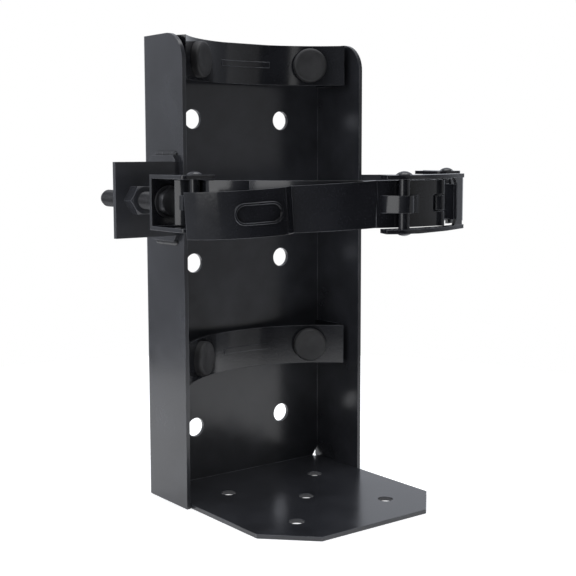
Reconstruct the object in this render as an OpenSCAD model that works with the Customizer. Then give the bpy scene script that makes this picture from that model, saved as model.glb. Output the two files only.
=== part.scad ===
// Heavy-duty vehicle bracket for a 7 in hand extinguisher, in millimetres.
// +Z up, +Y into the wall. The origin is the centre of the wall-bolt
// rectangle on the back face of the folded channel.

/* [Channel] */
// Outer width over the two flanges
body_w = 152.4; // [150:0.1:156]
// Height of the top edge above the origin
body_top = 163.2; // [162:0.1:175]
// Depth of the side flanges
flange_d = 50; // [48:0.5:54]
// Thickness of the folded sheet
sheet_t = 2.7; // [2.4:0.1:3]
// Radius of the rounded top front corner of a flange
corner_r = 19; // [10:1:24]

/* [Shelf] */
// Depth of the shelf's top face below the origin
shelf_drop = 147.4; // [146:0.1:155]
// Depth of the shelf from the back face
shelf_d = 152.4; // [145:0.1:160]
// Width of the shelf, which folds out between the flanges
shelf_w = 145.3; // [143:0.1:145.5]
// Chamfer of the shelf's two front corners
shelf_chamfer = 28.6; // [20:0.1:35]

/* [Holes] */
// Wall hole diameter
wall_hole_d = 13.5; // [11:0.5:14]
// Spacing of the holes across the channel and both ways on the shelf
hole_pitch = 76.2; // [70:0.1:80]
// Height between the top and bottom wall holes
wall_pitch = 218.4; // [210:0.1:222]
// Height of the middle pair of wall holes
mid_row = 8.7; // [0:0.1:15]
// Shelf hole diameter
shelf_hole_d = 10.3; // [8:0.1:11]

/* [Clamp band] */
// Inner radius of the closed band
ring_r = 86; // [85.5:0.1:86.5]
// Distance of the cylinder's axis from the back face
ring_y = 101.6; // [101:0.1:102]
// Height of the band's centre line
clamp_z = 56.3; // [50:0.1:65]
// Height of the band
band_h = 27; // [24:0.5:27]
// Thickness of the band
band_t = 2; // [1.8:0.1:2.1]
// Diameter of the hinge pins
pin_d = 6.5; // [6:0.1:6.6]

/* [Tension bolt] */
// Thread diameter of the bolt (7/16 in)
bolt_d = 11.1; // [10:0.1:11.2]
// Distance of the bolt's axis to the left of the centre
bolt_x = 107; // [106:0.5:108]

/* [Hidden] */
$fn = 64;
eps = 0.01;

deck_z = -shelf_drop;
sheet_bottom = deck_z - sheet_t;
half_w = body_w / 2;
inner_w = half_w - sheet_t;
bend_r = 4;
relief = 7;              // corner relief where plate, flange and shelf meet
shelf_row = -43.3;       // back pair of shelf holes; the front pair is one pitch away

saddle_z = [148, -55];   // centre heights of the two saddles
saddle_h = 28;
saddle_t = 2;
saddle_r = 90.7;         // front face of the saddle, about the cylinder's axis
saddle_a = 47;           // half angle of the curved stretch
saddle_flat_y = -31;     // where the flat end meets the leg
bumper_a = 32;           // angle of a bumper from the centre line
bumper_r = 12;
bumper_face = 84.6;      // bumper face, about the cylinder's axis
stud_r = 3;

plate_t = 3;             // anchor bracket
plate_h = 48;
leg_h = 56;
leg_y = -12;             // back edge of its leg
plate_y = -45;           // front face of its plate
plate_out = 123;         // outer edge of its plate
bead_r = 3.2;            // weld beads
nut_t = 9.5;
nut_af = 17.5;

band_mid = ring_r + band_t / 2;
lever_mid = ring_r + 7.3;            // middle of the handle's sheet
pin_r = pin_d / 2;
pin_play = 0.05;                     // radial play of a pin in its ears
ear_t = 2.4;
ear_in = band_h / 2 + 0.75;          // inner face of an ear from the centre plane
ear_out = ear_in + ear_t;
upper_head = [4.8, 2];                // radius and height of a pin's head
lower_head = [4.1, 1.4];             // the same for its riveted end
loop_len = 10;                       // half length of a lanced loop
loop_amp = pin_r + band_t / 2 + 0.35;
loop_h = 10;                         // height of the middle strip of a loop

left_pin = [-103, -105];
right_pin = [104, -108];
knuckle_a = -83.8;                   // fulcrum of the handle, round the ring
knuckle_mid = ring_r + 6.3;
knuckle_r = 4;
knuckle_h = 9;
fulcrum_r = 2;
lever_pin_a = -102.2;                // pin between handle and bail
lever_pin_mid = ring_r + 11.6;

web_y = -82;                         // front face of the left clevis web
clevis_x = [-119, -95];
clevis_front = -117;
right_web = 115;                     // outer face of the right clevis web
washer_t = 1.3;
bolt_head_h = 4.6;
bolt_tip = -1;

hook_a = -72;                        // end of the keeper's round stretch
hook_len = 10;
hook_dir = 253;                      // direction of the hook's lip
hook_h = 21;
strip_a = [-71.2, -66];              // the bail's strip behind the hook
droop = 4.2;                         // the lever hangs in its loose joint
droop_x = -36;

paint = "#1c1d20";
rubber = "#2b2c2e";

// a point round the cylinder's axis
function polar(r, a) = [r * cos(a), -ring_y + r * sin(a)];
// the rise of a lanced strip, smooth at both ends, for s from -1 to 1
function rise(s) = pow(cos(90 * s), 2);
// centre line of a lanced strip past a pin, either on a straight run or round the band
function loop_on_line(p, dir, amp) = [for (i = [-8:8])
    p + i / 8 * loop_len * [cos(dir), sin(dir)] + amp * rise(i / 8) * [sin(dir), -cos(dir)]];
function loop_on_ring(r, a, amp) = [for (i = [8:-1:-8])
    polar(r + amp * rise(i / 8), a + i / 8 * 7.5)];
// points along an arc about c, in equal steps of about 2.5 degrees
function arc(c, r, a0, a1) = let (n = ceil(abs(a1 - a0) / 2.5))
    [for (i = [0:n]) c + r * [cos(a0 + (a1 - a0) * i / n), sin(a0 + (a1 - a0) * i / n)]];
function ring_arc(r, a0, a1) = arc([0, -ring_y], r, a0, a1);
function heading(p, q) = atan2(q[1] - p[1], q[0] - p[0]);

fulcrum = polar(knuckle_mid, knuckle_a);
lever_pin = polar(lever_pin_mid, lever_pin_a);
left_joggle = [-90.5, -126];
right_joggle = [90.5, -127];
left_dir = heading(left_joggle, left_pin);
right_dir = heading(right_joggle, right_pin);

function unit(p, q) = (q - p) / norm(q - p);
// the line moved sideways by d, with mitred corners
function shifted(pts, d) = let (n = len(pts) - 1) [for (i = [0:n])
    let (u = unit(pts[max(i - 1, 0)], pts[i > 0 ? i : 1]),
         v = unit(pts[i < n ? i : n - 1], pts[min(i + 1, n)]),
         m = [-(u[1] + v[1]), u[0] + v[0]])
    pts[i] + d * 2 * m / (m * m)];
// a strap standing on edge, centred on the line and on z = 0
module strap(pts, t, h) {
    n = len(pts) - 1;
    far = shifted(pts, -t / 2);
    linear_extrude(h, center = true)
        polygon(concat(shifted(pts, t / 2), [for (i = [n:-1:0]) far[i]]));
}
// the upper and lower strips of a strap with a lanced middle of height mid_h
module side_strips(pts, t, h, mid_h) {
    for (s = [-1, 1]) translate([0, 0, s * (h + mid_h) / 4]) strap(pts, t, (h - mid_h) / 2);
}

module at(p, z = clamp_z) { translate([p[0], p[1], z]) children(); }

// low domed head, sitting on z = 0
module domed_head(r, h) {
    ball = (r * r + h * h) / (2 * h);
    intersection() {
        translate([0, 0, h - ball]) sphere(r = ball, $fn = 64);
        cylinder(h = h, r = r);
    }
}
// clevis pin with a head above the upper ear and a smaller riveted end below the lower one
module headed_pin(p) {
    gap = 0.2;
    at(p) {
        cylinder(h = 2 * (ear_out + gap), r = pin_r, center = true);
        translate([0, 0, ear_out + gap]) domed_head(upper_head[0], upper_head[1]);
        mirror([0, 0, 1]) translate([0, 0, ear_out + gap]) domed_head(lower_head[0], lower_head[1]);
    }
}
module pin_hole(p) { at(p) cylinder(h = 60, r = pin_r + pin_play, center = true); }

// half round weld bead in the corner between a flange and a plate's edge
module bead(y0, y1, z, side, up) {
    translate([side * half_w, y0, z]) mirror([0, 0, up > 0 ? 0 : 1]) rotate([90, 0, 0])
        linear_extrude(y0 - y1) intersection() {
            circle(r = bead_r, $fn = 32);
            translate([side > 0 ? 0 : -bead_r, 0]) square(bead_r);
        }
}

module rounded_corner_cut() {
    // leaves a round corner of radius corner_r at the flange's top front
    translate([-half_w - 1, -flange_d, body_top]) rotate([90, 0, 90]) linear_extrude(body_w + 2)
        difference() {
            translate([-1, -corner_r]) square([corner_r + 1, corner_r + 1]);
            translate([corner_r, -corner_r]) circle(r = corner_r);
        }
}
module channel_section() {
    difference() {
        union() {
            translate([-half_w + bend_r, -bend_r]) square([body_w - 2 * bend_r, bend_r]);
            for (s = [-1, 1]) {
                translate([s * (half_w - bend_r), -bend_r]) circle(r = bend_r);
                translate([s > 0 ? half_w - bend_r : -half_w, -flange_d])
                    square([bend_r, flange_d - bend_r]);
            }
        }
        translate([-inner_w, -flange_d - 1]) square([2 * inner_w, flange_d + 1 - sheet_t]);
    }
}
module shelf_outline() {
    w = shelf_w / 2;
    polygon([[-w, -bend_r], [w, -bend_r], [w, shelf_chamfer - shelf_d], [w - shelf_chamfer, -shelf_d],
             [shelf_chamfer - w, -shelf_d], [-w, shelf_chamfer - shelf_d]]);
}
module back_channel() {
    color(paint) difference() {
        union() {
            translate([0, 0, sheet_bottom]) linear_extrude(body_top - sheet_bottom) channel_section();
            translate([0, 0, sheet_bottom]) linear_extrude(sheet_t) shelf_outline();
            translate([-shelf_w / 2, -bend_r - 1, sheet_bottom]) cube([shelf_w, bend_r, sheet_t]);
        }
        rounded_corner_cut();
        // rounded fold between plate and shelf
        difference() {
            translate([-half_w - 1, -bend_r, sheet_bottom - 1]) cube([body_w + 2, bend_r + 1, bend_r + 1]);
            translate([0, -bend_r, sheet_bottom + bend_r]) rotate([0, 90, 0])
                cylinder(h = body_w + 4, r = bend_r, center = true);
        }
        // corner reliefs of the fold
        for (s = [-1, 1]) mirror([s > 0 ? 0 : 1, 0, 0]) translate([inner_w, 1, 0]) rotate([90, 0, 0])
            linear_extrude(bend_r + 2)
                polygon([[0, sheet_bottom - 1], [0, deck_z + relief], [-relief, sheet_bottom - 1]]);
        // wall holes
        for (x = [-1, 1], z = [-wall_pitch / 2, mid_row, wall_pitch / 2])
            translate([x * hole_pitch / 2, 0, z]) rotate([90, 0, 0])
                cylinder(h = 20, d = wall_hole_d, center = true);
        // shelf holes
        for (x = [-1, 1], k = [0, 1])
            translate([x * hole_pitch / 2, shelf_row - k * hole_pitch, deck_z])
                cylinder(h = 20, d = shelf_hole_d, center = true);
        translate([0, shelf_row - hole_pitch / 2, deck_z]) cylinder(h = 20, d = shelf_hole_d, center = true);
    }
}

module saddle(z) {
    mid = saddle_r + saddle_t / 2;
    leg_x = inner_w - saddle_t / 2;
    at([0, 0], z) difference() {
        union() {
            strap(concat([[leg_x, -sheet_t], [leg_x, saddle_flat_y + 1.2], [leg_x - 1, saddle_flat_y]],
                         ring_arc(mid, 90 - saddle_a, 90 + saddle_a),
                         [[1 - leg_x, saddle_flat_y], [-leg_x, saddle_flat_y + 1.2], [-leg_x, -sheet_t]]),
                  saddle_t, saddle_h);
            // stiffening bead pressed across the middle
            strap(ring_arc(saddle_r - 0.1, 77, 103), 0.8, 4);
        }
        for (s = [-1, 1]) translate([0, -ring_y, 0]) rotate([0, 0, 90 - s * bumper_a])
            rotate([0, 90, 0]) cylinder(h = 200, r = stud_r + 0.1, $fn = 32);
    }
}
module upper_saddle() { color(paint) saddle(saddle_z[0]); }
module lower_saddle() { color(paint) saddle(saddle_z[1]); }
module saddle_welds() {
    color(paint) for (z = saddle_z, s = [-1, 1], k = [-1, 1])
        translate([s * (inner_w - saddle_t), -17, z + k * 7]) rotate([0, -s * 90, 0])
            cylinder(h = 0.5, r = 3.2, $fn = 32);
}

// puts +Z on the line from the cylinder's axis through a bumper
module on_bumper(side, z) {
    translate([0, -ring_y, z]) rotate([0, 0, 90 - side * bumper_a]) rotate([0, 90, 0]) children();
}
module bumper(side, z) {
    rim = 2;
    color(rubber) difference() {
        on_bumper(side, z) translate([0, 0, bumper_face]) difference() {
            rotate_extrude() union() {
                translate([0, rim]) square([bumper_r, 7]);
                square([bumper_r - rim, rim + eps]);
                translate([bumper_r - rim, rim]) circle(r = rim, $fn = 32);
            }
            translate([0, 0, -59.4]) sphere(r = 60, $fn = 96);
        }
        translate([0, -ring_y, z]) difference() {
            cylinder(h = 40, r = saddle_r + 20, center = true);
            cylinder(h = 50, r = saddle_r - 0.1, center = true, $fn = 180);
        }
        on_bumper(side, z) translate([0, 0, bumper_face + 2.5])
            cylinder(h = 10, r = stud_r + 0.1, $fn = 32);
    }
}
module bumper_upper_left() { bumper(-1, saddle_z[0]); }
module bumper_upper_right() { bumper(1, saddle_z[0]); }
module bumper_lower_left() { bumper(-1, saddle_z[1]); }
module bumper_lower_right() { bumper(1, saddle_z[1]); }
module bumper_studs() {
    color("silver") for (z = saddle_z, s = [-1, 1]) on_bumper(s, z) {
        translate([0, 0, bumper_face + 2.7]) cylinder(h = 6, r = stud_r, $fn = 32);
        translate([0, 0, saddle_r + saddle_t + 0.05]) cylinder(h = 1.6, r = 5, $fn = 32);
        translate([0, 0, bumper_face + 8]) cylinder(h = 1, r = stud_r, $fn = 32);
    }
}

module anchor_bracket() {
    cut = 4;
    color(paint) difference() {
        union() {
            // leg on the flange, with cut corners
            translate([-half_w - plate_t, 0, clamp_z]) rotate([90, 0, 90]) linear_extrude(plate_t)
                polygon([[leg_y - cut, leg_h / 2], [plate_y + plate_t, leg_h / 2],
                         [plate_y, plate_h / 2], [plate_y, -plate_h / 2],
                         [plate_y + plate_t, -leg_h / 2], [leg_y - cut, -leg_h / 2],
                         [leg_y, cut - leg_h / 2], [leg_y, leg_h / 2 - cut]]);
            // plate that the bolt pulls on
            translate([-plate_out, plate_y, clamp_z - plate_h / 2])
                cube([plate_out - half_w, plate_t, plate_h]);
        }
        translate([-bolt_x, plate_y, clamp_z]) rotate([90, 0, 0])
            cylinder(h = 20, d = bolt_d + 0.9, center = true);
    }
}
module anchor_welds() {
    color(paint) for (s = [-1, 1]) bead(-16, -43, clamp_z + s * leg_h / 2, -1, s);
}
module weld_nut() {
    color(paint) translate([-bolt_x, plate_y, clamp_z]) rotate([90, 0, 0]) difference() {
        intersection() {
            cylinder(h = nut_t, r = nut_af / sqrt(3), $fn = 6);
            translate([0, 0, nut_t - 14]) sphere(r = 16.4, $fn = 64);
        }
        translate([0, 0, -1]) cylinder(h = nut_t + 2, d = bolt_d + 0.16);
    }
}

module right_anchor_strap() {
    x = half_w + band_t / 2;
    end_x = right_web - ear_t - band_t / 2;
    color(paint) at([0, 0])
        strap([[x, -8], [x, -46], [x + 1, -47.8], [end_x - 1, -76.5], [end_x, -79], [end_x, -92]],
              band_t, band_h);
}
module right_welds() {
    color(paint) for (s = [-1, 1]) bead(-12, -44, clamp_z + s * band_h / 2, 1, s);
}
module ear_outline(x0, x1, y0, y1, r) {
    translate([x0, y0 + r]) square([x1 - x0, y1 - y0 - r]);
    translate([x0 + r, y0]) square([x1 - x0 - 2 * r, r + eps]);
    for (x = [x0 + r, x1 - r]) translate([x, y0 + r]) circle(r = r, $fn = 32);
}
module right_clevis() {
    color(paint) difference() {
        union() {
            translate([right_web - ear_t, -108, clamp_z - ear_out])
                cube([ear_t, 32, 2 * ear_out]);
            for (z = [-ear_out, ear_in]) translate([0, 0, clamp_z + z]) linear_extrude(ear_t)
                ear_outline(93, right_web, -114, -88, 6);
        }
        pin_hole(right_pin);
    }
}
module keeper_pin() { color(paint) headed_pin(right_pin); }

// the lanced middle passes a pin on the outside, the upper and lower strips inside
module keeper_strap() {
    ahead = unit(right_joggle, right_pin);
    root = polar(band_mid, hook_a);
    band = concat(ring_arc(band_mid, hook_a, -22), [right_joggle, right_pin - (loop_len + 1) * ahead]);
    tail = [right_pin + (loop_len + 2) * ahead];
    color(paint) at([0, 0]) {
        side_strips(concat(band, loop_on_line(right_pin, right_dir, -loop_amp), tail), band_t, band_h, loop_h);
        // the middle also carries the lip that the bail's strip catches
        strap(concat([root + hook_len * [cos(hook_dir), sin(hook_dir)]], band,
                     loop_on_line(right_pin, right_dir, loop_amp), tail), band_t, loop_h);
        side_strips([root + hook_len * [cos(hook_dir), sin(hook_dir)], root, band[1]],
                    band_t, hook_h, loop_h);
    }
}

module left_clevis() {
    color(paint) difference() {
        union() {
            translate([clevis_x[0], web_y, clamp_z - ear_out])
                cube([clevis_x[1] - clevis_x[0], ear_t, 2 * ear_out]);
            for (z = [-ear_out, ear_in]) translate([0, 0, clamp_z + z]) linear_extrude(ear_t)
                ear_outline(clevis_x[0], clevis_x[1], clevis_front, web_y + ear_t, 3);
        }
        pin_hole(left_pin);
        translate([-bolt_x, web_y, clamp_z]) rotate([90, 0, 0])
            cylinder(h = 20, d = bolt_d + 0.16, center = true);
    }
}
module strap_pin() { color(paint) headed_pin(left_pin); }
module bolt_washer() {
    color("silver") translate([-bolt_x, web_y, clamp_z]) rotate([90, 0, 0]) difference() {
        cylinder(h = washer_t, r = 10);
        translate([0, 0, -1]) cylinder(h = washer_t + 2, d = bolt_d + 0.16);
    }
}
module clamp_bolt() {
    seat = web_y - washer_t - 0.1;
    shank = bolt_tip - seat;
    color("#26282b") translate([-bolt_x, seat, clamp_z]) rotate([-90, 0, 0]) {
        cylinder(h = shank - 3, d = bolt_d);
        intersection() {
            translate([0, 0, shank - 9]) sphere(r = 9, $fn = 64);
            translate([0, 0, shank - 3 - eps]) cylinder(h = 4, d = bolt_d);
        }
        mirror([0, 0, 1]) intersection() {
            cylinder(h = bolt_head_h, r = 15.9 / sqrt(3), $fn = 6);
            translate([0, 0, bolt_head_h - 14]) sphere(r = 16, $fn = 64);
        }
    }
}

module front_strap() {
    ahead = unit(left_pin, left_joggle);
    mid_h = knuckle_h - 0.4;
    cut_a = 360 + knuckle_a - 3.7;
    start = [left_pin - (loop_len + 3) * ahead];
    band = concat([left_pin + (loop_len + 1) * ahead, left_joggle], ring_arc(band_mid, 200, cut_a));
    color(paint) at([0, 0]) difference() {
        union() {
            side_strips(concat(start, loop_on_line(left_pin, left_dir + 180, -loop_amp), band),
                        band_t, band_h, mid_h);
            // the middle strip ends in the rolled knuckle
            strap(concat(start, loop_on_line(left_pin, left_dir + 180, loop_amp), band,
                         [polar(band_mid + 2.6, knuckle_a - 1.2)]), band_t, mid_h);
            at(fulcrum, 0) cylinder(h = mid_h, r = knuckle_r, center = true);
        }
        at(fulcrum, 0) cylinder(h = 2 * band_h, r = fulcrum_r + pin_play, center = true);
    }
}
module handle_pin() {
    color(paint) at(fulcrum) cylinder(h = band_h - 0.4, r = fulcrum_r, center = true);
}

module lever_tail() {
    // from the fulcrum to just past the lanced loop
    lever_end = lever_pin_a - 9.5;
    difference() {
        union() {
            side_strips(concat(ring_arc(lever_mid, knuckle_a - 1.2, lever_pin_a + 8),
                               ring_arc(lever_mid, lever_pin_a + 7.5, lever_end)), band_t, band_h, loop_h);
            strap(concat(ring_arc(lever_mid, knuckle_a - 3.9, lever_pin_a + 8),
                         loop_on_ring(lever_mid, lever_pin_a, loop_amp + 4.3),
                         [polar(lever_mid, lever_end)]), band_t, loop_h);
            for (s = [-1, 1]) at(fulcrum, s * (band_h + loop_h) / 4)
                cylinder(h = (band_h - loop_h) / 2, r = knuckle_r, center = true);
        }
        at(fulcrum, 0) cylinder(h = 2 * band_h, r = fulcrum_r + pin_play, center = true);
    }
}
module lever_bow() {
    // from the loop along the band, then flaring out to the finger end
    bow_c = [-72.4, -111.9];
    bow_r = 51.3;
    strap(concat(ring_arc(lever_mid, 360 + lever_pin_a - 8.8, 218.5), arc(bow_c, bow_r, 262, 194.8)),
          band_t, band_h);
    // plain oval pressed in the bow, in place of any mark
    translate([bow_c[0], bow_c[1], 0]) rotate([0, 0, 244]) rotate([90, 0, 90])
        translate([0, 0, bow_r - 0.6]) linear_extrude(2.2) difference() {
            oval(14, 6.2);
            oval(12.8, 5);
        }
}
// two round ends joined by a straight stretch
module oval(half_l, r) {
    square([2 * (half_l - r), 2 * r], center = true);
    for (s = [-1, 1]) translate([s * (half_l - r), 0]) circle(r = r, $fn = 48);
}
module handle() {
    color(paint) at([0, 0]) {
        lever_tail();
        translate([droop_x, 0, 0]) rotate([0, -droop, 0]) translate([-droop_x, 0, 0]) lever_bow();
    }
}
module bail_pin() { color(paint) headed_pin(lever_pin); }

module latch_bail() {
    web_mid = ring_r + 6;
    gusset = 3.5;
    left = polar(web_mid, strip_a[0]);
    right = polar(web_mid, strip_a[1]);
    width = norm(right - left);
    color(paint) difference() {
        union() {
            for (z = [-ear_out, ear_in]) translate([0, 0, clamp_z + z]) linear_extrude(ear_t)
                polygon([polar(ring_r + 4.5, lever_pin_a - 7), polar(ring_r + 16, lever_pin_a - 7.5),
                         polar(ring_r + 17.5, lever_pin_a - 4), polar(ring_r + 17.5, lever_pin_a + 4),
                         polar(ring_r + 11, -82), polar(ring_r + 8, strip_a[0]), polar(ring_r + 8, strip_a[1]),
                         polar(ring_r + 4, strip_a[1]), polar(ring_r + 4, -80), polar(ring_r + 3.6, -92)]);
            // web strip, with corner gussets that make the window six sided
            at(left) rotate([0, 0, heading(left, right)]) rotate([90, 0, 0]) translate([0, 0, -band_t / 2])
                linear_extrude(band_t)
                    polygon([[-gusset, ear_out - 0.5], [width, ear_out - 0.5], [width, 0.5 - ear_out],
                             [-gusset, 0.5 - ear_out], [-gusset, -ear_in], [0, gusset - ear_in],
                             [0, ear_in - gusset], [-gusset, ear_in]]);
        }
        pin_hole(lever_pin);
    }
}

back_channel();
upper_saddle();
lower_saddle();
saddle_welds();
bumper_upper_left();
bumper_upper_right();
bumper_lower_left();
bumper_lower_right();
bumper_studs();
anchor_bracket();
anchor_welds();
weld_nut();
right_anchor_strap();
right_welds();
right_clevis();
keeper_pin();
keeper_strap();
left_clevis();
bolt_washer();
strap_pin();
clamp_bolt();
front_strap();
handle_pin();
handle();
bail_pin();
latch_bail();
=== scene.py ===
"""Vehicle extinguisher bracket: materials, threads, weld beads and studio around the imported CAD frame.

Lengths are in metres, in the CAD frame: +Z up, +Y into the wall.
"""

import math
import random

import bmesh
import bpy
from mathutils import Matrix, Vector


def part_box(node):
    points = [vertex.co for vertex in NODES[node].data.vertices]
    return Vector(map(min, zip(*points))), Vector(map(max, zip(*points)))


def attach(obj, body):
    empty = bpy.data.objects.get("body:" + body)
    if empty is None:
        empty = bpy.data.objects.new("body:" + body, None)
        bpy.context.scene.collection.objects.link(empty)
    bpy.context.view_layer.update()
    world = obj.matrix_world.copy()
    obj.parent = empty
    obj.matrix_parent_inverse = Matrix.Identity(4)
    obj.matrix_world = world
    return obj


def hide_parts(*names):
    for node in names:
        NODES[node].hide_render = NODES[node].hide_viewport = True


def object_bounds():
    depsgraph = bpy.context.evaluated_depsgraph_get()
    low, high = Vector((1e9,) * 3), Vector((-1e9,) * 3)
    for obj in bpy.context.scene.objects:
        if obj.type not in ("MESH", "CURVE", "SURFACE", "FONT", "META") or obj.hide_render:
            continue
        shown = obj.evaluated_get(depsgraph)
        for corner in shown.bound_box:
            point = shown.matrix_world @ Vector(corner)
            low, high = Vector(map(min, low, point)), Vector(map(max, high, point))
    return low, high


MM = 0.001
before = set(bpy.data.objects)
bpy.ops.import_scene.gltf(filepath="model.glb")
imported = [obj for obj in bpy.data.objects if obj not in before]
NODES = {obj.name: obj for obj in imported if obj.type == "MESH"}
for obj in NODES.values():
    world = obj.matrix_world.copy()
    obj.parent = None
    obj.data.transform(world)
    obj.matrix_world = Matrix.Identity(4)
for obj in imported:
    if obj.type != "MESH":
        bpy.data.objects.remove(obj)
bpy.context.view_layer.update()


# ---------------------------------------------------------------- materials
class NodeMaterial:
    """A new material with short calls for making and linking its nodes."""

    def __init__(self, name):
        self.material = bpy.data.materials.new(name)
        self.material.use_nodes = True
        self.tree = self.material.node_tree
        self.shader = self.tree.nodes["Principled BSDF"]

    def add(self, kind, settings=(), **inputs):
        made = self.tree.nodes.new("ShaderNode" + kind)
        for key, value in dict(settings).items():
            setattr(made, key, value)
        for key, value in inputs.items():
            made.inputs[key.replace("_", " ")].default_value = value
        return made

    def link(self, source, target):
        self.tree.links.new(source, target)

    def noise(self, coordinates, scale, detail=3.0, roughness=0.5):
        made = self.add("TexNoise", Scale=scale, Detail=detail, Roughness=roughness)
        self.link(coordinates, made.inputs["Vector"])
        return made.outputs["Fac"]

    def ramp(self, fac, stops):
        """stops: (position, grey or colour) pairs"""
        made = self.add("ValToRGB")
        band = made.color_ramp
        while len(band.elements) < len(stops):
            band.elements.new(0.5)
        for element, (position, value) in zip(band.elements, stops):
            colour = (value,) * 3 if isinstance(value, (int, float)) else value
            element.position = position
            element.color = (*colour, 1.0)
        self.link(fac, made.inputs["Fac"])
        return made.outputs["Color"]


DUST_COLOUR = (0.16, 0.16, 0.17, 1.0)
# light grey for the rounded edges: partly paint worn thin, partly a painted edge highlight
WORN_AND_HIGHLIGHT_COLOUR = (0.13, 0.135, 0.15, 1.0)


def painted_steel(name, base, rough, peel=0.05, dust=0.12):
    """Glossy black enamel: orange peel, soft mottling, specks of dust, and light grey on the edges that
    is partly thin wear and partly a painted edge highlight.
    """
    m = NodeMaterial(name)
    place = m.add("TexCoord").outputs["Object"]
    mottle = m.noise(place, 38.0, 4.0)
    fine = m.noise(place, 620.0, 2.0)
    specks = m.noise(place, 1500.0, 1.0)

    # rounded edges, and how far a point's normal bends there
    rounded = m.add("Bevel", {"samples": 6}, Radius=0.0005)
    flat = m.add("NewGeometry")
    bend = m.add("VectorMath", {"operation": "DISTANCE"})
    m.link(rounded.outputs["Normal"], bend.inputs[0])
    m.link(flat.outputs["Normal"], bend.inputs[1])
    edge = m.ramp(bend.outputs["Value"], [(0.05, 0.0), (0.55, 1.0)])
    patchy = m.ramp(mottle, [(0.35, 0.0), (0.62, 1.0)])
    # partly wear, partly painted highlight: the rounded edges turn light grey in mottled patches
    wear_and_highlight = m.add("Mix", {"data_type": "RGBA", "blend_type": "MULTIPLY"})
    wear_and_highlight.inputs["Factor"].default_value = 1.0
    m.link(edge, wear_and_highlight.inputs["A"])
    m.link(patchy, wear_and_highlight.inputs["B"])

    tint = m.ramp(mottle, [(0.3, [0.75 * c for c in base]), (0.7, [1.25 * c for c in base])])
    dusty = m.add("Mix", {"data_type": "RGBA"})
    dusty.inputs["B"].default_value = DUST_COLOUR
    dust_spots = m.ramp(specks, [(0.66, 0.0), (0.8, dust)])
    m.link(dust_spots, dusty.inputs["Factor"])
    m.link(tint, dusty.inputs["A"])
    worn_and_highlit = m.add("Mix", {"data_type": "RGBA"})
    worn_and_highlit.inputs["B"].default_value = WORN_AND_HIGHLIGHT_COLOUR
    m.link(wear_and_highlight.outputs["Result"], worn_and_highlit.inputs["Factor"])
    m.link(dusty.outputs["Result"], worn_and_highlit.inputs["A"])
    m.link(worn_and_highlit.outputs["Result"], m.shader.inputs["Base Color"])

    gloss = m.ramp(mottle, [(0.25, rough * 0.8), (0.75, rough * 1.3)])
    m.link(gloss, m.shader.inputs["Roughness"])
    relief = m.add("Bump", Strength=peel, Distance=0.0004)
    m.link(fine, relief.inputs["Height"])
    m.link(rounded.outputs["Normal"], relief.inputs["Normal"])
    m.link(relief.outputs["Normal"], m.shader.inputs["Normal"])
    m.shader.inputs["IOR"].default_value = 1.5
    return m.material


def moulded_rubber(name):
    """Matte black rubber with a fine grain and a chalky bloom in patches."""
    m = NodeMaterial(name)
    place = m.add("TexCoord").outputs["Object"]
    bloom = m.noise(place, 120.0, 5.0, 0.6)
    grain = m.noise(place, 2400.0, 2.0)
    tint = m.ramp(bloom, [(0.35, (0.016, 0.016, 0.017)), (0.7, (0.034, 0.034, 0.036))])
    m.link(tint, m.shader.inputs["Base Color"])
    m.link(m.ramp(bloom, [(0.3, 0.5), (0.7, 0.68)]), m.shader.inputs["Roughness"])
    relief = m.add("Bump", Strength=0.25, Distance=0.0003)
    m.link(grain, relief.inputs["Height"])
    m.link(relief.outputs["Normal"], m.shader.inputs["Normal"])
    return m.material


def black_zinc(name):
    """Satin black plating on the bolt, its washer and the studs."""
    m = NodeMaterial(name)
    place = m.add("TexCoord").outputs["Object"]
    cloud = m.noise(place, 90.0, 4.0)
    grain = m.noise(place, 1800.0, 2.0)
    tint = m.ramp(cloud, [(0.3, (0.02, 0.02, 0.022)), (0.75, (0.05, 0.051, 0.055))])
    m.link(tint, m.shader.inputs["Base Color"])
    m.link(m.ramp(cloud, [(0.3, 0.28), (0.7, 0.42)]), m.shader.inputs["Roughness"])
    m.shader.inputs["Metallic"].default_value = 0.35
    rounded = m.add("Bevel", {"samples": 6}, Radius=0.0003)
    relief = m.add("Bump", Strength=0.08, Distance=0.0003)
    m.link(grain, relief.inputs["Height"])
    m.link(rounded.outputs["Normal"], relief.inputs["Normal"])
    m.link(relief.outputs["Normal"], m.shader.inputs["Normal"])
    return m.material


PAINT = painted_steel("channel_paint", (0.024, 0.025, 0.029), 0.2)
BAND_PAINT = painted_steel("band_paint", (0.011, 0.0115, 0.014), 0.13, peel=0.035)
WELD_PAINT = painted_steel("weld_paint", (0.016, 0.0165, 0.018), 0.22, peel=0.12)
RUBBER = moulded_rubber("bumper_rubber")
ZINC = black_zinc("bolt_zinc")

BAND_NODES = ("front_strap", "handle", "keeper_strap", "latch_bail", "left_clevis", "right_clevis",
              "strap_pin", "bail_pin", "keeper_pin", "handle_pin", "upper_saddle", "lower_saddle")
ZINC_NODES = ("clamp_bolt", "bolt_washer", "bumper_studs")


def finish_for(node):
    """The material of a CAD node."""
    if node in ZINC_NODES:
        return ZINC
    if node in BAND_NODES:
        return BAND_PAINT
    return RUBBER if node.startswith("bumper") else PAINT


SMOOTH_COSINE = math.cos(math.radians(32))


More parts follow.
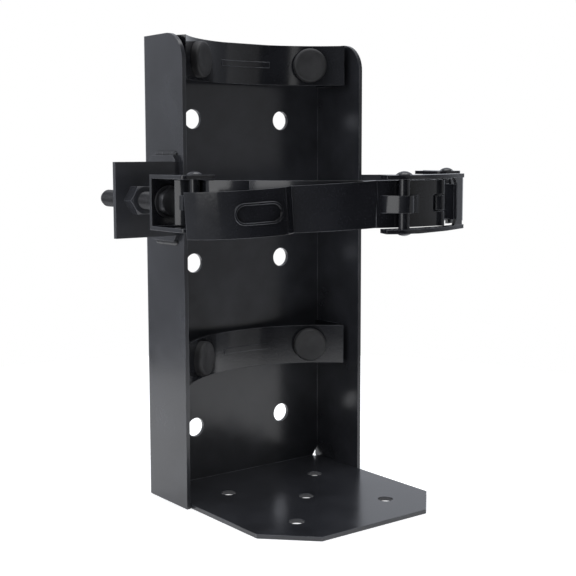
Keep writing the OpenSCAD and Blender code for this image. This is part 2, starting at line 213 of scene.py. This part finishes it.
def smooth_bends(mesh):
    """Shades the facets of a bend as one round surface: each corner takes the mean normal of the
    faces at its point that lean less than the limit from its own face. Points don't move."""
    faces_at = {}
    keys = [tuple(round(c * 1e6) for c in vertex.co) for vertex in mesh.vertices]
    for polygon in mesh.polygons:
        for v in polygon.vertices:
            faces_at.setdefault(keys[v], set()).add(polygon.index)
    normals = [polygon.normal.copy() for polygon in mesh.polygons]
    weights = [polygon.area for polygon in mesh.polygons]
    corners = [None] * len(mesh.loops)
    for polygon in mesh.polygons:
        own = normals[polygon.index]
        for loop in polygon.loop_indices:
            total = Vector((0.0, 0.0, 0.0))
            for other in faces_at[keys[mesh.loops[loop].vertex_index]]:
                if own.dot(normals[other]) > SMOOTH_COSINE:
                    total += normals[other] * weights[other]
            corners[loop] = total.normalized() if total.length > 0 else own
    mesh.normals_split_custom_set(corners)


def dress_cad_nodes():
    """Gives every CAD node its material, and smooth shading over the bent stretches of sheet."""
    for name, part in NODES.items():
        part.data.materials.clear()
        part.data.materials.append(finish_for(name))
        smooth_bends(part.data)


# ------------------------------------------------------------- mesh helpers
def new_piece(name, mesh_maker, material, body, slot, *replaced):
    """Builds a mesh piece that rides on a body and stands in for the replaced CAD nodes."""
    bm = bmesh.new()
    mesh_maker(bm)
    bmesh.ops.recalc_face_normals(bm, faces=bm.faces)
    mesh = bpy.data.meshes.new(name)
    bm.to_mesh(mesh)
    bm.free()
    piece = bpy.data.objects.new(name, mesh)
    bpy.context.scene.collection.objects.link(piece)
    mesh.materials.append(material)
    mesh.shade_smooth()
    mesh.set_sharp_from_angle(angle=math.radians(38))
    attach(piece, body)
    if replaced:
        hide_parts(*replaced)
    return piece


def box_and_middle(node):
    """The lowest and highest corners of a node's box, and its middle."""
    low, high = (Vector(corner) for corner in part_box(node))
    return low, high, (low + high) / 2


# -------------------------------------------------------------- clamp bolt
BOLT_R = 5.55 * MM
BOLT_ROOT = 4.85 * MM
PITCH = 1.814 * MM
HEAD_H = 4.6 * MM
HEAD_AF = 15.9 * MM
NECK_LENGTH = 14 * MM
FACE_R = HEAD_AF * 0.44
EDGE_CUT = 0.5 * MM
CORNER_CUT = 1.4 * MM
TIP_LENGTH = 3.5 * MM
TIP_STEPS = 4
TIP_BEND = math.pi / 2.3
THREAD_SIDES = 32
THREAD_PROFILE = ((0.0, BOLT_ROOT), (0.38, BOLT_R), (0.52, BOLT_R), (0.9, BOLT_ROOT))


def threaded_bolt(bm):
    """The whole bolt along +Y: hex head with turned corners, plain neck, grooved thread, domed tip."""
    low, high, centre = box_and_middle("clamp_bolt")
    seat = low.y + HEAD_H
    tip = high.y
    neck_end = seat + NECK_LENGTH

    def ring(y, radius_at):
        made = []
        for k in range(THREAD_SIDES):
            turn = 2 * math.pi * k / THREAD_SIDES
            r = radius_at(turn)
            made.append(bm.verts.new((centre.x + r * math.cos(turn), y, centre.z + r * math.sin(turn))))
        return made

    def hexagon(turn):
        sector = (turn + math.pi / 6) % (math.pi / 3) - math.pi / 6
        return HEAD_AF / 2 / math.cos(sector)

    rings = [ring(low.y, lambda t: FACE_R),
             ring(low.y + EDGE_CUT, lambda t: min(hexagon(t), HEAD_AF * 0.5)),
             ring(low.y + CORNER_CUT, hexagon),
             ring(seat, hexagon),
             ring(seat, lambda t: BOLT_R),
             ring(neck_end, lambda t: BOLT_R)]
    # the thread, as a groove to each pitch: root, crest, crest and root again
    turns = int((tip - TIP_LENGTH - neck_end) / PITCH)
    for pitch_no in range(turns):
        for part, radius in THREAD_PROFILE:
            y = neck_end + (pitch_no + part) * PITCH
            rings.append(ring(y, lambda t, r=radius: r))
    last = neck_end + turns * PITCH
    for step in range(TIP_STEPS + 1):
        bend = step / TIP_STEPS * TIP_BEND
        rings.append(ring(last + (tip - last) * math.sin(bend) / math.sin(TIP_BEND),
                          lambda t, c=math.cos(bend): BOLT_ROOT * c))
    for a, b in zip(rings, rings[1:]):
        for k in range(THREAD_SIDES):
            n = (k + 1) % THREAD_SIDES
            bm.faces.new((a[k], a[n], b[n], b[k]))
    bm.faces.new(rings[0])
    bm.faces.new(rings[-1])
    bmesh.ops.remove_doubles(bm, verts=bm.verts, dist=0.000001)


# -------------------------------------------------------------- weld beads
BEAD_R = 2.5 * MM
BEAD_INSET = 2.6 * MM
BEAD_SIDES = 12
BEAD_FLATTENING = 0.75
RIPPLE_STEP = 0.7 * MM


def weld_bead(bm, start, end, width, out, up, seed):
    """A row of overlapping ripples from start to end, lying in the corner between two sheets."""
    rng = random.Random(seed)
    span = end - start
    steps = max(8, int(span.length / RIPPLE_STEP))
    along = span.normalized()
    rows = []
    for i in range(steps + 1):
        s = i / steps
        ripple = 0.82 + 0.18 * abs(math.sin(s * steps * math.pi / 3)) + rng.uniform(-0.03, 0.03)
        taper = min(1.0, math.sqrt(max(0.0, 1 - (2 * s - 1) ** 6)) + 0.12)
        r = width * ripple * taper
        row = []
        for k in range(BEAD_SIDES):
            turn = 2 * math.pi * k / BEAD_SIDES
            offset = out * math.cos(turn) * r * BEAD_FLATTENING + up * math.sin(turn) * r
            row.append(bm.verts.new(start + along * span.length * s + offset))
        rows.append(row)
    for a, b in zip(rows, rows[1:]):
        for k in range(BEAD_SIDES):
            n = (k + 1) % BEAD_SIDES
            bm.faces.new((a[k], a[n], b[n], b[k]))
    bm.faces.new(rows[0])
    bm.faces.new(rows[-1])


def flange_beads(node, side, seed):
    """The maker of the beads above and below a leg on a flange's outer face."""
    low, high, _ = box_and_middle(node)

    def make(bm):
        x = low.x if side > 0 else high.x
        for k, up in enumerate((-1, 1)):
            z = low.z + BEAD_INSET if up < 0 else high.z - BEAD_INSET
            weld_bead(bm, Vector((x, high.y, z)), Vector((x, low.y, z)), BEAD_R,
                      Vector((side, 0, 0)), Vector((0, 0, up)), seed + k)
    return make


def build_details():
    """The bolt with its thread and the rippled welds, in place of the plain CAD nodes."""
    new_piece("tension_bolt_threaded", threaded_bolt, ZINC, "tension_bolt", "black_zinc", "clamp_bolt")
    new_piece("anchor_weld_beads", flange_beads("anchor_welds", -1, 11), WELD_PAINT, "frame",
              "black_paint", "anchor_welds")
    new_piece("right_weld_beads", flange_beads("right_welds", 1, 23), WELD_PAINT, "frame",
              "black_paint", "right_welds")


# ------------------------------------------------------------------ studio
REFLECTED_GREY = (0.78, 0.81, 0.88, 1.0)


def emission_world():
    """Pure white to the eye; in reflections bright at the wall side and above, dim in front and below."""
    world = bpy.data.worlds.new("studio")
    bpy.context.scene.world = world
    world.use_nodes = True
    tree = world.node_tree
    tree.nodes.clear()
    new = tree.nodes.new
    link = tree.links.new
    split = new("ShaderNodeSeparateXYZ")
    link(new("ShaderNodeTexCoord").outputs["Generated"], split.inputs[0])
    product = new("ShaderNodeMath")
    product.operation = "MULTIPLY"
    # axis, the direction components where its ramp starts and ends, and the strengths there
    grades = (("Y", -0.9, 0.25, 0.05, 0.95), ("Z", -0.35, 0.15, 0.35, 1.0))
    for k, (axis, start, end, dim, bright) in enumerate(grades):
        grade = new("ShaderNodeMapRange")
        for key, value in zip(("From Min", "From Max", "To Min", "To Max"), (start, end, dim, bright)):
            grade.inputs[key].default_value = value
        link(split.outputs[axis], grade.inputs["Value"])
        link(grade.outputs[0], product.inputs[k])

    seen = new("ShaderNodeBackground")
    seen.inputs["Color"].default_value = (1.0, 1.0, 1.0, 1.0)
    seen.inputs["Strength"].default_value = 1.0
    lit = new("ShaderNodeBackground")
    lit.inputs["Color"].default_value = REFLECTED_GREY
    link(product.outputs[0], lit.inputs["Strength"])
    pick = new("ShaderNodeMixShader")
    link(new("ShaderNodeLightPath").outputs["Is Camera Ray"], pick.inputs[0])
    link(lit.outputs[0], pick.inputs[1])
    link(seen.outputs[0], pick.inputs[2])
    link(pick.outputs[0], new("ShaderNodeOutputWorld").inputs["Surface"])


FLOOR_RADIUS = 0.5
FLOOR_GAP = 0.2 * MM
FLOOR_GLOW = 0.55


def pale_floor():
    """A white floor with a faint shadow, small enough that the upright faces don't mirror it."""
    low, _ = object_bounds()
    bpy.ops.mesh.primitive_circle_add(vertices=96, radius=FLOOR_RADIUS, fill_type="NGON",
                                      location=(0, 0, low.z - FLOOR_GAP))
    floor = bpy.context.object
    floor.name = "floor"
    m = NodeMaterial("floor_white")
    m.shader.inputs["Base Color"].default_value = (0.9, 0.9, 0.9, 1.0)
    m.shader.inputs["Roughness"].default_value = 0.9
    m.shader.inputs["Emission Color"].default_value = (1.0, 1.0, 1.0, 1.0)
    m.shader.inputs["Emission Strength"].default_value = FLOOR_GLOW
    floor.data.materials.append(m.material)


def area_light(name, place, aim, size, power):
    """A rectangular softbox at place, facing aim."""
    light = bpy.data.lights.new(name, "AREA")
    light.shape = "RECTANGLE"
    light.size, light.size_y = size
    light.energy = power
    lamp = bpy.data.objects.new(name, light)
    lamp.location = place
    lamp.rotation_euler = (Vector(aim) - Vector(place)).to_track_quat("-Z", "Y").to_euler()
    bpy.context.scene.collection.objects.link(lamp)


BRACKET_MIDDLE = (0, -0.05, 0.05)


def studio_lights():
    """Softboxes above and at the left, a narrow strip in front and a weak fill at the right."""
    area_light("top_softbox", (0.1, -0.2, 1.6), (0, -0.05, 0), (1.6, 1.2), 14)
    area_light("left_softbox", (-1.6, -0.3, 0.5), BRACKET_MIDDLE, (0.9, 1.4), 9)
    area_light("front_strip", (-0.35, -1.9, 0.75), (0, -0.1, 0.05), (0.25, 1.2), 1.2)
    area_light("front_fill", (1.2, -1.6, 0.15), BRACKET_MIDDLE, (1.2, 1.2), 1.4)


def photo_camera():
    """The camera left of the bracket and a little above it, looking slightly down."""
    yaw, pitch, roll = (math.radians(angle) for angle in (37.14, 6.22, -0.14))
    camera = bpy.data.cameras.new("camera")
    camera.sensor_width = 36.0
    camera.lens = 70.0
    camera.shift_x = 0.0142
    camera.shift_y = -0.0220
    holder = bpy.data.objects.new("camera", camera)
    turn = Matrix.Rotation(-yaw, 4, "Z") @ Matrix.Rotation(math.pi / 2 - pitch, 4, "X")
    place = Matrix.Translation((-0.4638, -0.6644, 0.0854))
    holder.matrix_world = place @ turn @ Matrix.Rotation(roll, 4, "Z")
    bpy.context.scene.collection.objects.link(holder)
    bpy.context.scene.camera = holder


photo_camera()
dress_cad_nodes()
build_details()
pale_floor()
emission_world()
studio_lights()
bpy.context.scene.view_settings.view_transform = "Standard"
bpy.context.scene.view_settings.look = "None"
